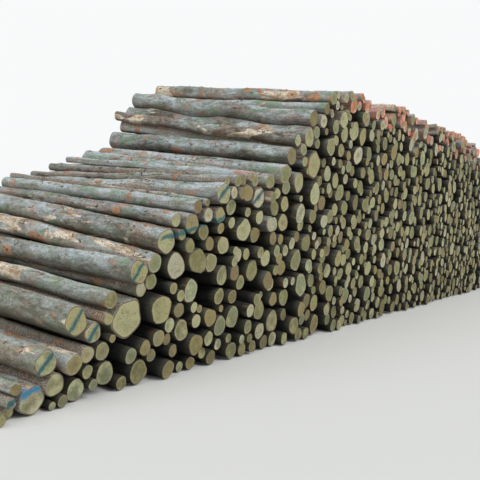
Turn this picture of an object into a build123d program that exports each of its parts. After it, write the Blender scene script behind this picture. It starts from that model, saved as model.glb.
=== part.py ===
from build123d import *
import os
from dataclasses import dataclass, field
from math import atan2, cos, hypot, pi, sin
import numpy as np

# A long roadside stack of beech logs, laid side by side and on top of one another.
# +X runs along the stack, +Y runs along the logs from the face to the back, and +Z is up.
# While the stack is laid, x starts at the foot of its sloping left end, y at the face and z at the ground.

# Logs
log_length = 3000
length_spread = 45
end_stagger = 50
taper_per_metre = 8
common_diameter = 176
diameter_spread = 0.3
least_diameter = 82
greatest_diameter = 330
skew_spread = 50
greatest_skew = 110
measured_skew = 25
body_log_sides = 8
flank_log_sides = 12
least_corner_span = 0.05
bearing_gap = 0.6

# Outline of the face, as places along the stack and heights above the ground
crest_line = [
    (-200, 120), (0, 290), (570, 800), (1200, 1160), (1500, 1490), (2300, 1950),
    (3300, 2100), (3850, 2520), (4660, 3340), (6350, 3460), (8200, 3480), (12600, 3560),
]
right_slope_run = 3600
stand_out = 40

# Logs at the foot of the left end, in the order of laying: place along the stack and diameter at the face
foot_logs = [
    (-130, 120), (-20, 118), (150, 259), (345, 82), (430, 120), (545, 208), (700, 111), (860, 229),
    (1060, 145), (1330, 274), (-80, 92), (380, 204), (650, 135), (1210, 166), (1450, 143), (800, 182),
    (275, 238), (440, 195), (620, 168), (880, 87), (1290, 167), (740, 195), (560, 272), (1070, 400),
]

# Logs higher up the slope and large logs in the face: place, height of the middle and diameter at the face
slope_logs = [
    (1350, 950, 165), (1180, 1000, 250), (1350, 1140, 200), (1480, 1340, 275), (1810, 1420, 239),
    (2090, 1450, 199), (2350, 1550, 184), (2600, 1710, 199), (2290, 1800, 261), (3110, 1780, 266),
    (2870, 1820, 215), (3290, 1940, 203), (3680, 1960, 212), (3840, 2390, 164), (3790, 2570, 162),
    (4080, 2590, 274), (4200, 2860, 227), (4660, 3240, 197),
]
face_logs = [
    (1670, 1060, 296), (1980, 1030, 329), (2730, 1430, 291), (4250, 740, 380), (4270, 2110, 400),
    (5030, 2780, 260),
]

# Courses, from the ground up, into which the logs with no name of their own are grouped
courses = 16

# Laying of the logs
random_seed = 22
samples = 24
column_width = 60
kept_share = 0.45
coarse_step = 14.0
fine_step = 1.5
most_neighbours = 48
greatest_pitch = 0.12
search_steps = 26

stack_length = crest_line[-1][0] + right_slope_run
outline = crest_line + [(stack_length, 0)]
draw = np.random.default_rng(random_seed)


@dataclass
class Log:
    """A straight tapered log. Its middle and radius are given at the face, with their change along y."""

    name: str
    sides: int
    skew: float
    radius: float
    taper: float
    start: float
    end: float
    x: float = 0
    z: float = 0
    pitch: float = 0
    bearings: list = field(default_factory=list)

    def section(self, y):
        """Place, height and radius of the log at a distance y behind the face."""
        return self.x + self.skew * y, self.z + self.pitch * y, self.radius + self.taper * y


def cut_log(name, diameter, skew):
    """A log of the given diameter at the face, with its butt at the face or at the back by chance."""
    narrowing = taper_per_metre / 2000 * draw.choice([-1, 1])
    narrowing = max(narrowing, (least_diameter - diameter) / 2 / log_length)
    start = draw.uniform(-end_stagger, end_stagger)
    end = start + log_length + draw.uniform(-length_spread, length_spread)
    sides = flank_log_sides if name else body_log_sides
    return Log(name, sides, skew / log_length, diameter / 2, narrowing, start, end)


def chance_log():
    """One of the many logs whose size and lie are left to chance."""
    diameter = common_diameter * np.exp(draw.normal(0, diameter_spread))
    diameter = min(max(diameter, least_diameter), greatest_diameter)
    skew = min(max(draw.normal(0, skew_spread), -greatest_skew), greatest_skew)
    return cut_log("", diameter, skew)


def resting_lines(log, near, places):
    """Heights at the face and pitches with which the log would rest, for an array of places at the face.

    Wherever the log passes over another, or over the ground, its middle has a least height. With a
    given pitch the log lies as high as the worst of these asks. It rests with the pitch that lets its
    mid length lie lowest, which a search by golden sections finds.
    """
    middle_y = (log.start + log.end) / 2
    ends = np.array([log.start, log.end])
    arms = [ends - middle_y]
    heights = [np.tile(log.radius + log.taper * ends, (len(places), 1))]
    for other in near:
        y = np.linspace(max(log.start, other.start), min(log.end, other.end), samples)
        other_x, other_z, other_radius = other.section(y)
        reach = log.radius + log.taper * y + other_radius + bearing_gap
        offset = places[:, None] + log.skew * y - other_x
        rise = np.sqrt(np.maximum(reach**2 - offset**2, 0))
        arms.append(y - middle_y)
        heights.append(np.where(abs(offset) < reach, other_z + rise, 0))
    arms = np.concatenate(arms)
    heights = np.concatenate(heights, axis=1)
    low = np.full(len(places), -greatest_pitch)
    high = np.full(len(places), greatest_pitch)
    golden = (5**0.5 - 1) / 2
    for step in range(search_steps):
        first = high - golden * (high - low)
        second = low + golden * (high - low)
        first_height = (heights - first[:, None] * arms).max(axis=1)
        second_height = (heights - second[:, None] * arms).max(axis=1)
        keep_low = first_height < second_height
        high = np.where(keep_low, second, high)
        low = np.where(keep_low, low, first)
    pitch = (low + high) / 2
    middle_height = (heights - pitch[:, None] * arms).max(axis=1)
    return middle_height - pitch * middle_y, pitch, middle_height


def settle(log, logs, place, window):
    """Let the log down into the lowest hollow at most a window to each side, first coarsely, then finely."""
    search = greatest_diameter + abs(log.skew) * log_length + greatest_skew + window
    near = [other for other in logs if abs(other.x - place) < search]
    near = sorted(near, key=lambda other: other.z)[-most_neighbours:]
    for step in coarse_step, fine_step:
        places = np.arange(place - window, place + window + step, step)
        face_heights, pitches, middle_heights = resting_lines(log, near, places)
        lowest = int(np.argmin(middle_heights))
        place = places[lowest]
        window = step
    log.x = place
    log.z = face_heights[lowest]
    log.pitch = pitches[lowest]


def stands_out(log):
    """Whether either end of the log would stand up out of the outline of the face."""
    for y in (log.start, log.end):
        x, z, radius = log.section(y)
        if z + radius > np.interp(x, [x for x, z in outline], [z for x, z in outline]) + stand_out:
            return True
    return False


def build_stack():
    """Fill the outline from the ground up, always in one of the lowest hollows that are still open.

    Where the next log would take the place of a measured one, the measured log is laid instead, unless
    it would come nearer to its measured height on top of the next log.
    """
    logs = []
    for n, (x, diameter) in enumerate(foot_logs):
        logs.append(lay_measured(f"foot_log_{n + 1:02d}", x, diameter, logs))
    kept_places = [(x, z, d, f"slope_log_{n + 1:02d}") for n, (x, z, d) in enumerate(slope_logs)]
    kept_places += [(x, z, d, "") for x, z, d in face_logs]
    columns = np.arange(outline[0][0], outline[-1][0], column_width)
    crest = np.interp(columns, [x for x, z in outline], [z for x, z in outline])
    surface = np.zeros(len(columns))
    for log in logs:
        raise_surface(surface, columns, log)
    while (surface < crest).any():
        order = surface + draw.uniform(0, common_diameter / 2, len(columns))
        hollow = int(np.argmin(np.where(surface < crest, order, np.inf)))
        log = chance_log()
        settle(log, logs, columns[hollow], common_diameter)
        hits = [kept for kept in kept_places
                if hypot(log.x - kept[0], log.z - kept[1]) < log.radius + kept_share * kept[2]]
        if hits:
            below = [kept for kept in kept_places if abs(kept[0] - hits[0][0]) < (kept[2] + hits[0][2]) / 2]
            x, z, diameter, name = min(below, key=lambda kept: kept[1])
            sooner = lay_measured(name, x, diameter, logs)
            later = lay_measured(name, x, diameter, logs + [log])
            if abs(sooner.z - z) < abs(later.z - z):
                kept_places.remove((x, z, diameter, name))
                log = sooner
        elif stands_out(log):
            surface[hollow] += common_diameter / 2
            continue
        logs.append(log)
        raise_surface(surface, columns, log)
    for x, z, diameter, name in kept_places:
        logs.append(lay_measured(name, x, diameter, logs))
    return logs


def lay_measured(name, x, diameter, logs):
    """A log of the lists above, let down at its own place."""
    log = cut_log(name, diameter, draw.uniform(-1, 1) * measured_skew)
    settle(log, logs, x, common_diameter / 8)
    return log


def raise_surface(surface, columns, log):
    """Note in the heights of the surface, one for each column of the face, that a log lies there."""
    under = abs(columns - log.x) < max(log.radius, column_width)
    surface[under] = np.maximum(surface[under], log.z)


def note_bearings(logs):
    """Note where each log bears on the ground or on another log, as angles round its middle."""
    for n, log in enumerate(logs):
        if min(log.section(y)[1] - log.section(y)[2] for y in (log.start, log.end)) < bearing_gap:
            log.bearings.append(-pi / 2)
        for other in logs[n + 1:]:
            if abs(other.x - log.x) > log.radius + other.radius + 2 * greatest_skew:
                continue
            y = np.linspace(max(log.start, other.start), min(log.end, other.end), 4 * samples)
            x, z, radius = log.section(y)
            other_x, other_z, other_radius = other.section(y)
            gap = np.hypot(other_x - x, other_z - z) - radius - other_radius
            k = int(np.argmin(gap))
            if gap[k] < 2 * bearing_gap:
                angle = atan2(other_z[k] - z[k], other_x[k] - x[k])
                log.bearings.append(angle)
                other.bearings.append(angle + pi)


def corner_angles(bearings, sides):
    """Corners of a log's outline: one at each bearing, and the rest in the middle of the widest spans."""
    angles = []
    for angle in sorted(bearing % (2 * pi) for bearing in bearings):
        if not angles or angle - angles[-1] > least_corner_span:
            angles.append(angle)
    while len(angles) < sides:
        spans = [b - a for a, b in zip(angles, angles[1:] + [angles[0] + 2 * pi])]
        widest = spans.index(max(spans))
        angles.insert(widest + 1, angles[widest] + spans[widest] / 2)
    return angles


def log_solid(log, middle):
    """A log with a flat-sided outline, narrowing evenly from its butt to its top between two square cuts."""
    angles = corner_angles(log.bearings, log.sides)
    cuts = []
    for y in (log.start, log.end):
        x, z, radius = log.section(y)
        cuts.append([(x + radius * cos(a) - middle, y - log_length / 2, z + radius * sin(a)) for a in angles])
    near_cut, far_cut = cuts
    faces = [Face(Wire.make_polygon(near_cut)), Face(Wire.make_polygon(far_cut))]
    for k in range(len(near_cut)):
        faces.append(Face(Wire.make_polygon([near_cut[k - 1], near_cut[k], far_cut[k], far_cut[k - 1]])))
    return Solid(Shell(faces))


logs = build_stack()
note_bearings(logs)
ends = [log.section(y) for log in logs for y in (log.start, log.end)]
left = min(x - radius for x, z, radius in ends)
right = max(x + radius for x, z, radius in ends)
course_logs = [log for log in logs if not log.name]
for n, log in enumerate(course_logs):
    log.name = f"course_{1 + n * courses // len(course_logs):02d}"
nodes = {}
for log in logs:
    nodes.setdefault(log.name, []).append(log_solid(log, (left + right) / 2))

os.makedirs("parts", exist_ok=True)
for name, solids in nodes.items():
    export_step(Compound(children=solids), f"parts/{name}.step")
print(len(logs), "logs in", len(nodes), "nodes")
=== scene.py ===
import math
import bpy
import numpy as np
from mathutils import Matrix, Vector
from mathutils.bvhtree import BVHTree


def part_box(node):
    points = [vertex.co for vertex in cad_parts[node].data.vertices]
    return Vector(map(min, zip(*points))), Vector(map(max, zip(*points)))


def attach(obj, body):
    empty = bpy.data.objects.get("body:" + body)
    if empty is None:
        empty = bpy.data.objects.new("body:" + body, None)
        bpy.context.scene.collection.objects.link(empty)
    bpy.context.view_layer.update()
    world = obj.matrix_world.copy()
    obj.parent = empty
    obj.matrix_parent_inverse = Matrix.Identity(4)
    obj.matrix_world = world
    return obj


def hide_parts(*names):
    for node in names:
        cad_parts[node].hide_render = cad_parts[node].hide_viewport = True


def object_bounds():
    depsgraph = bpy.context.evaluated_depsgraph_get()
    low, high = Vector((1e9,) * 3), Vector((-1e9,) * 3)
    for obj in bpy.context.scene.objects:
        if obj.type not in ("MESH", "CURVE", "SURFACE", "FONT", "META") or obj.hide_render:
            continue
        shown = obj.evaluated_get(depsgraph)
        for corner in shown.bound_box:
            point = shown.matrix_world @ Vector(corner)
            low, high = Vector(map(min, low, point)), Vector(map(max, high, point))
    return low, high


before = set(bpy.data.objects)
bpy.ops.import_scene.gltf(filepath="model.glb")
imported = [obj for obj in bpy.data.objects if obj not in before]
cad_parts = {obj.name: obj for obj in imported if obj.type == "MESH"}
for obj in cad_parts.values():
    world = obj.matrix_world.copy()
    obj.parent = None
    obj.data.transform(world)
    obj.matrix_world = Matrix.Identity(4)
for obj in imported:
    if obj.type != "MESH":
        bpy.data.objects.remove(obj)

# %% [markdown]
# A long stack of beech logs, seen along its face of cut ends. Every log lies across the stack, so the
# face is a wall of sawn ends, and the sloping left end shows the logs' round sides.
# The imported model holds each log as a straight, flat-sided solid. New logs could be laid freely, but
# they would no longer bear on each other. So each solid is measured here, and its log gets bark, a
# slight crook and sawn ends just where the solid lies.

cad_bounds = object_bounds()
low_corner = np.array(cad_bounds[0])
high_corner = np.array(cad_bounds[1])
print("the stack measures", np.round(high_corner - low_corner, 2), "m")

# %% [markdown]
# The photograph was taken in front of the foot of the sloping end, at eye height, along the face. A
# camera could be set by eye, but then the error would show in every log. So its pan, tilt, roll and
# lens come from the picture's two vanishing points: one where the lines of the stack run together,
# and one where the logs themselves do.

# %% Camera
end_stagger = 0.05
log_beyond_foot = 0.132
camera_before_foot = 3.0
camera_before_face = 3.75
eye_height = 1.83
camera_pan = math.radians(33.2)
camera_tilt = math.radians(-4.2)
camera_roll = math.radians(5.95)


def placed(name, data):
    """A new object of the scene, at the origin and unturned."""
    thing = bpy.data.objects.new(name, data)
    bpy.context.scene.collection.objects.link(thing)
    return thing


face_y = low_corner[1] + end_stagger
log_low, log_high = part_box("foot_log_03")
foot_x = (log_low[0] + log_high[0]) / 2 - log_beyond_foot
level = math.cos(camera_tilt)
forward = Vector((math.cos(camera_pan) * level, math.sin(camera_pan) * level, math.sin(camera_tilt)))
turned = forward.to_track_quat("-Z", "Y").to_matrix() @ Matrix.Rotation(camera_roll, 3, "Z")
camera_data = bpy.data.cameras.new("camera")
camera_data.lens = 48.0
camera_data.sensor_width = 36.0
camera_data.clip_end = 200.0
camera = placed("camera", camera_data)
camera.rotation_euler = turned.to_euler()
camera.location = (foot_x - camera_before_foot, face_y - camera_before_face, eye_height)
bpy.context.scene.camera = camera
print("camera at", np.round(camera.location, 2))

# %% [markdown]
# A mesh can be read and built point by point, but with a thousand logs that is slow. Blender also
# gives and takes a mesh as whole arrays: the places of the corners, the corner numbers of the faces,
# and numbers for each corner that a material can read. The logs and the litter all go that way.

# %% Meshes as arrays


def places_of(mesh):
    """The place of each corner of a mesh, in rows of x, y and z."""
    places = np.empty(len(mesh.vertices) * 3)
    mesh.vertices.foreach_get("co", places)
    return places.reshape(-1, 3)


def triangles_of(mesh):
    """The triangles of a mesh, in rows of three corner numbers."""
    mesh.calc_loop_triangles()
    triangles = np.empty(len(mesh.loop_triangles) * 3, np.int32)
    mesh.loop_triangles.foreach_get("vertices", triangles)
    return triangles.reshape(-1, 3)


def repeated_mesh(name, points, groups):
    """A mesh of many shapes with the same faces. Points are by shape, and each group holds faces of one size.

    corner number of shape k = corner number in the first shape + k times the corners of a shape
    """
    count, per_shape = points.shape[:2]
    shift = (np.arange(count) * per_shape)[:, None, None]
    faces = [(group[None] + shift).reshape(-1, group.shape[1]) for group in groups]
    corners = np.concatenate([group.reshape(-1) for group in faces])
    totals = np.concatenate([np.full(len(group), group.shape[1]) for group in faces])
    starts = np.cumsum(totals) - totals
    mesh = bpy.data.meshes.new(name)
    mesh.vertices.add(count * per_shape)
    mesh.vertices.foreach_set("co", points.reshape(-1))
    mesh.loops.add(len(corners))
    mesh.loops.foreach_set("vertex_index", corners.astype(np.int32))
    mesh.polygons.add(len(totals))
    mesh.polygons.foreach_set("loop_start", starts.astype(np.int32))
    mesh.polygons.foreach_set("loop_total", totals.astype(np.int32))
    mesh.update(calc_edges=True)
    mesh.validate()
    return mesh


def add_numbers(mesh, name, numbers, kind="FLOAT_VECTOR", key="vector"):
    """Three numbers, or one, for every corner of a mesh, for its material to read."""
    attribute = mesh.attributes.new(name, kind, "POINT")
    attribute.data.foreach_set(key, np.ascontiguousarray(numbers, dtype=np.float32).reshape(-1))


print("meshes are read and built as arrays")

# %% [markdown]
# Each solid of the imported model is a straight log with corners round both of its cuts. Its size and
# place could be typed in again, but measuring them keeps the two models together. Corners that share
# a triangle belong to one log, so the logs are told apart by spreading the lowest corner number
# through the triangles. All corners of a cut lie on one circle, whose middle and radius follow from
# the least squares of x^2 + z^2 = 2 a x + 2 b z + c.

# %% Read the logs
cut_tolerance = 1e-4


def loose_parts(mesh):
    """The corners of each separate solid of a mesh of loose triangles, as a list of arrays."""
    corners, same = np.unique(np.round(places_of(mesh), 6), axis=0, return_inverse=True)
    triangles = same.reshape(-1)[triangles_of(mesh)]
    label = np.arange(len(corners))
    while True:
        lowest = label[triangles].min(axis=1)
        spread = label.copy()
        for k in range(3):
            np.minimum.at(spread, triangles[:, k], lowest)
        if (spread == label).all():
            break
        label = spread
    return [corners[label == value] for value in np.unique(label)]


def circle_through(points):
    """Middle and radius of the circle that best fits points given as x and z."""
    terms = np.column_stack([2 * points, np.ones(len(points))])
    a, b, c = np.linalg.lstsq(terms, (points**2).sum(axis=1), rcond=None)[0]
    return a, b, math.sqrt(c + a * a + b * b)


def read_logs(node):
    """One row for each log of a node: x, y, z and radius at its near cut, then at its far cut."""
    rows = []
    for corners in loose_parts(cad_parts[node].data):
        row = []
        for y in (corners[:, 1].min(), corners[:, 1].max()):
            cut = corners[abs(corners[:, 1] - y) < cut_tolerance]
            x, z, radius = circle_through(cut[:, [0, 2]])
            row += [x, y, z, radius]
        rows.append(row)
    return np.array(rows)


node_logs = {node: read_logs(node) for node in sorted(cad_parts)}
all_logs = np.concatenate(list(node_logs.values()))
print(len(all_logs), "logs in", len(node_logs), "nodes")

# %% [markdown]
# Only the logs on the outside of the stack show their round sides from end to end, and they are worth
# a fine surface. The rest show little more than their ends. All logs could be made fine, but the model
# would grow fourfold with nothing to see for it. A log counts as an outer one if from its middle some
# straight line upwards or sideways leaves the stack without meeting another log.

# %% Find the outer logs
directions = np.radians(np.arange(6, 175, 8))
least_ahead = 0.01
covering_share = 0.8
least_openness = 0.06


def open_share(middles, radii):
    """For each log, the share of the directions above the level in which no other log covers it."""
    offset = middles[None, :, :] - middles[:, None, :]
    free = np.zeros(len(middles))
    for angle in directions:
        direction = np.array([math.cos(angle), math.sin(angle)])
        along = offset @ direction
        across = abs(offset @ np.array([-direction[1], direction[0]]))
        covered = ((along > least_ahead) & (across < covering_share * radii[None, :])).any(axis=1)
        free += ~covered
    return free / len(directions)


middles = (all_logs[:, [0, 2]] + all_logs[:, [4, 6]]) / 2
openness = open_share(middles, (all_logs[:, 3] + all_logs[:, 7]) / 2)
is_outer = openness > least_openness
print(int(is_outer.sum()), "outer logs")

# %% [markdown]
# No log is quite straight. It could be bent by a curve or a lattice, one log at a time. Here the
# middle lines of all logs are one array: a straight run from cut to cut, to which soft waves are
# added. Every log has a row of chance numbers of its own, which set the direction of its bow and the
# places of its waves.

# %% Middle line of a log
wander_share, wander_turns = 0.35, 2.3
kink_share, kink_turns = 0.16, 4.7
upward_share = 0.5
wander_fade = 9


def middle_line(logs, own, s, crook):
    """Middle lines of many logs as x, y and z, where s goes from 0 at the near cut to 1 at the far one.

    x = near + (far - near) s + crook (one bow + one S-bend + short kinks)
    z = near + (far - near) s + crook (half the rest of the bow + a slow wander)
    Kinks and wander fade out within a ninth of the length from each cut.
    """
    near = logs[:, None, None, 0:3]
    far = logs[:, None, None, 4:7]
    crook = crook[:, None, None]
    straight = near + (far - near) * s[..., None]
    lean = own[:, 0] * 2 * math.pi
    bow = crook * np.sin(math.pi * s)
    sway = crook * np.sin(2 * math.pi * s + 2 * lean) * (own[:, 1] - 0.5)
    held = np.clip(np.minimum(s, 1 - s) * wander_fade, 0, 1)
    wander = wander_share * crook * held * np.sin(2 * math.pi * (wander_turns * s + 3 * own[:, 5]))
    kinks = kink_share * crook * held * np.sin(2 * math.pi * (kink_turns * s + 5 * own[:, 4]))
    x = straight[..., 0] + bow * np.cos(lean) + sway + kinks
    z = straight[..., 2] + bow * np.sin(lean) * upward_share + wander
    return x, straight[..., 1], z


print("middle lines are ready to be worked out")

# %% [markdown]
# Nor is a log quite round. Thick ones are out of round and fluted, all have flat places and low lumps,
# knots stand out where branches were, the near end has five soft lobes from the swell of the roots, and
# the saw leaves the rim of a cut slightly rounded. Sculpting could show all that on one log. A formula
# for the radius, round and along the log, gives every log its own outline, and holds each within the same
# bounds.

# %% Outline of a log
usual_radius = 0.1
oval_share = 0.045
flute_share = 0.030
flare_share, flare_reach = 0.022, 0.10
flat_share = 0.14
knot_height, knot_width, knot_length = 1.6, 0.5, 0.016
log_length = 3.0
rim_reach, rim_drop = 0.006, 0.045


def waves(angle, along, own, count):
    """Sum of smooth waves round and along the log, each with a whole number of lobes, from -1 to 1."""
    total = 0
    for k in range(count):
        lobes = 1 + k % 4
        runs = 0.7 + 1.3 * k
        phase = own[:, k] * 2 * math.pi
        swing = runs * 2 * math.pi * along * (1 + 0.4 * own[:, k])
        total = total + np.cos(lobes * angle + phase + swing)
    return total / count


def flattened(angle, turn, distance):
    """Share of the radius left by a soft flat that faces the angle turn, at the given share of the radius.

    share = (1 + (cos(angle - turn) / distance)^12)^(-1/12), where the cosine counts only if it is over 0
    """
    return (1 + (np.maximum(np.cos(angle - turn), 0) / distance) ** 12) ** (-1 / 12)


def bark_radius(logs, own, s, angle, lump, greatest):
    """Radius of the bark of many logs, round and along them.

    radius = (near radius + (far radius - near radius) s) (1 - oval - flutes - flare + lump waves) flats
    A knot adds a hump exp(-(turn / width)^2 - (run / length)^2), which is measured from its own middle.
    The share of the radius is never over the one called greatest. In the last millimetres before a cut
    it narrows by the square of the way to the rim.
    """
    radius = logs[:, 3, None, None] + (logs[:, 7] - logs[:, 3])[:, None, None] * s
    thick = np.clip(logs[:, 3, None, None] / usual_radius, 0.8, 1.8)
    lean = own[:, 0] * 2 * math.pi
    oval = oval_share * thick * own[:, 2] * (1 + np.cos(2 * angle + lean + 1.5 * s))
    flute = flute_share * thick * own[:, 8] * (1 + np.cos(3 * angle + 5 * lean - s))
    flare = flare_share * thick * (1 + np.cos(5 * angle + 9 * lean)) * np.exp(-s / flare_reach)
    shape = 1.0 - oval - flute - flare + lump * (waves(angle, s, own, 8) - 0.3)
    for k in range(2):
        turn = math.pi * (0.02 + 0.96 * own[:, 9 + k]) + 0.5 * s
        distance = 1 - flat_share * np.minimum(thick, 1.3) * own[:, 3 + k] ** 0.7
        shape = shape * flattened(angle, turn, distance)
    for k in range(3):
        knot_angle = own[:, 3 + k] * 2 * math.pi
        knot_s = 0.1 + 0.8 * own[:, 6 + k]
        turn = np.arctan2(np.sin(angle - knot_angle), np.cos(angle - knot_angle))
        hump = np.exp(-(turn / knot_width) ** 2 - ((s - knot_s) / knot_length) ** 2)
        shape = shape + knot_height * lump * hump
    radius = radius * np.minimum(shape, greatest)
    rim = np.minimum(np.minimum(s, 1 - s) * log_length / rim_reach, 1)
    return radius * (1 - rim_drop * (1 - rim) ** 2)


print("outlines are ready to be worked out")

# %% [markdown]
# The bark of a log is a grid: one direction runs round the log and the other from cut to cut. A tube
# along a curve would give such a grid too, but only with round rings. Here each ring lies about the
# middle line with the radius of the outline. A saw rarely cuts square, so the rings near the cuts lean
# by up to four degrees.

# %% Surface of a log
greatest_lean = 0.07
lean_fade = 12


def log_points(logs, seeds, sides, rings, crook, lump, greatest):
    """Points of the bark of many logs at once, as an array of log, ring, corner and x, y, z.

    x = middle x + radius cos(angle), z = middle z + radius sin(angle)
    y = middle y + lean of the cut, fading out within a twelfth of the length, times radius sin(angle + turn)
    """
    own = seeds[:, :, None, None]
    s = rings[None, :, None]
    angle = (np.arange(sides) * 2 * math.pi / sides)[None, None, :]
    middle_x, middle_y, middle_z = middle_line(logs, own, s, crook)
    radius = bark_radius(logs, own, s, angle, lump, greatest)
    near_lean = (2 * own[:, 3] - 1) * greatest_lean * np.clip(1 - s * lean_fade, 0, 1)
    far_lean = (2 * own[:, 4] - 1) * greatest_lean * np.clip(1 - (1 - s) * lean_fade, 0, 1)
    x = middle_x + radius * np.cos(angle)
    y = middle_y + (near_lean + far_lean) * radius * np.sin(angle + 2 * math.pi * own[:, 5])
    z = middle_z + radius * np.sin(angle)
    return np.clip(np.stack([x, y, z], axis=-1), low_corner, high_corner)


print("surfaces are ready to be worked out")

# %% [markdown]
# Some logs were marked with paint. On the sloping end a few cuts carry one broad teal stroke each, and
# one log at the foot a blue one. Along the crest many cuts have fluorescent red-orange paint. A
# material for each marked log would do, but one material for all ends is simpler. So each log gets the
# direction and the kind of its own mark as three numbers, which the materials of ends and bark read.

# %% Paint marks
no_paint, teal_stroke, blue_stroke, red_spray = range(4)
teal_logs = ("foot_log_11", "foot_log_17", "foot_log_22", "foot_log_23",
             "slope_log_02", "slope_log_09", "slope_log_10")
blue_logs = ("foot_log_03",)
bare_crest_log = "slope_log_18"
stroke_lean = math.radians(41)
stroke_spread = 0.5
blue_lean = math.radians(18)
crest_height = 3.05
crest_share = 0.62


def paint_of(node, logs, seeds, openness):
    """For each log the direction of its stroke, as cosine and sine, and the kind of paint on its near end."""
    lean = stroke_lean + stroke_spread * (seeds[:, 0] - 0.5)
    kind = np.full(len(logs), float(no_paint))
    if node in teal_logs:
        kind[:] = teal_stroke
    if node in blue_logs:
        kind[:] = blue_stroke
        lean[:] = blue_lean
    if node != bare_crest_log:
        kind[(openness > 0) & (logs[:, 2] > crest_height) & (seeds[:, 1] < crest_share)] = red_spray
    return np.stack([np.cos(lean), np.sin(lean), kind], axis=-1)


print(len(teal_logs), "logs with a teal stroke and", len(blue_logs), "with a blue one")

# %% [markdown]
# A cut end could be one flat many-sided face, but then nothing between its rim and its pith could be
# shaped. So it is closed by rings of corners that shrink towards the pith, or on the many inner logs by
# a plain fan. The order of a face's corners makes it point outwards.

# %% Ends and faces of a log
end_relief = 0.004


def end_points(bark, seeds, shrink):
    """The points of both cuts of many logs: rings that shrink from the rim, and the pith.

    ring = pith + (rim - pith) step, with a ripple across the cut that grows towards the pith
    """
    sides = bark.shape[2]
    ripple = np.sin(7 * seeds[:, None, 0] + 9 * np.arange(sides)[None] / sides)
    layers = []
    for cut in (0, -1):
        rim = bark[:, cut]
        pith = rim.mean(axis=1)[:, None]
        for step in shrink:
            ring = pith + (rim - pith) * step
            ring[..., 1] += (1 - step) * end_relief * ripple
            layers.append(ring)
        layers.append(pith)
    return np.concatenate(layers, axis=1)


def log_faces(sides, ring_count, end_rings):
    """The four-cornered faces of one log, which of them are on a cut, and the fans round both piths.

    Corner j of ring k has the number k sides + j. The rings and the pith of each cut follow the bark's.
    """
    corner = np.arange(sides)
    following = (corner + 1) % sides

    def band(ring, next_ring):
        return np.column_stack([ring + corner, ring + following, next_ring + following, next_ring + corner])

    bark = [band(k * sides, (k + 1) * sides)[:, ::-1] for k in range(ring_count - 1)]
    ends = []
    fans = []
    start = ring_count * sides
    for ring, way in ((0, 1), ((ring_count - 1) * sides, -1)):
        for step in range(end_rings):
            ends.append(band(ring, start)[:, ::way])
            ring = start
            start += sides
        fans.append(np.column_stack([ring + corner, ring + following, np.full(sides, start)])[:, ::way])
        start += 1
    quads = np.concatenate(bark + ends)
    return quads, np.arange(len(quads)) >= len(bark) * sides, np.concatenate(fans)


quads, quad_is_end, fans = log_faces(16, 3, 0)
print("a log of 16 sides and 3 rings has", len(quads) + len(fans), "faces")

# %% [markdown]
# All logs of a node are one mesh, because a thousand objects would be slow to handle. A mesh has no
# memory of which log a corner belongs to, so each corner carries numbers: where it lies on its cut,
# measured from the pith, for the growth rings, and its log's own numbers, for its colours and paint.

# %% Mesh of many logs
pith_spread = 0.25


def log_mesh(name, logs, seeds, paint, crook, sides, rings, shrink, lump, greatest):
    """A mesh of many logs with bark and two cuts each, and its numbers for the materials.

    The number cut is x and z from the pith, and the share of the way from the pith to the rim. On the
    bark the share goes on past 1, by the metres from the nearer cut.
    """
    count = len(logs)
    bark = log_points(logs, seeds, sides, rings, crook, lump, greatest)
    points = np.concatenate([bark.reshape(count, -1, 3), end_points(bark, seeds, shrink)], axis=1)
    points = np.clip(points, low_corner, high_corner)
    quads, quad_is_end, fans = log_faces(sides, len(rings), len(shrink))
    mesh = repeated_mesh(name, points, [quads, fans])
    is_end = np.concatenate([np.tile(quad_is_end, count), np.ones(count * len(fans), bool)])
    mesh.polygons.foreach_set("material_index", is_end.astype(np.int32))
    mesh.polygons.foreach_set("use_smooth", ~is_end)

    in_front = (points[..., 1] - logs[:, None, 1]) / (logs[:, None, 5] - logs[:, None, 1]) < 0.5
    near_middle = bark[:, 0].mean(axis=1)[:, None]
    far_middle = bark[:, -1].mean(axis=1)[:, None]
    on_cut = points - np.where(in_front[..., None], near_middle, far_middle)
    radius = np.where(in_front, logs[:, None, 3], logs[:, None, 7])
    pith_shift = (seeds[:, 6:8] - 0.5) * pith_spread
    x = on_cut[..., 0] - pith_shift[:, None, 0] * radius
    z = on_cut[..., 2] - pith_shift[:, None, 1] * radius
    from_cut = 1 + log_length * np.minimum(rings, 1 - rings)
    one_end = np.append(np.repeat(shrink, sides), 0)
    share = np.concatenate([np.repeat(from_cut, sides), one_end, one_end])
    add_numbers(mesh, "cut", np.stack([x, z, np.tile(share, (count, 1))], axis=-1))
    add_numbers(mesh, "tint", np.repeat(seeds[:, None, 8:11], points.shape[1], axis=1))
    marks = np.repeat(paint[:, None], points.shape[1], axis=1)
    marks[..., 2] *= in_front
    add_numbers(mesh, "paint", marks)
    return mesh


print("logs are ready to be built")

# %% [markdown]
# Rain washes soil, leaf mould and crumbs of bark down between the outer logs, and the grooves where two
# logs meet turn brown. A shader could look for such places by itself, but that is slow and lost when the
# model is exported. So each point carries how near it lies to the next log, as one number.

# %% Grooves between the logs
groove_reach = 0.12


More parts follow.
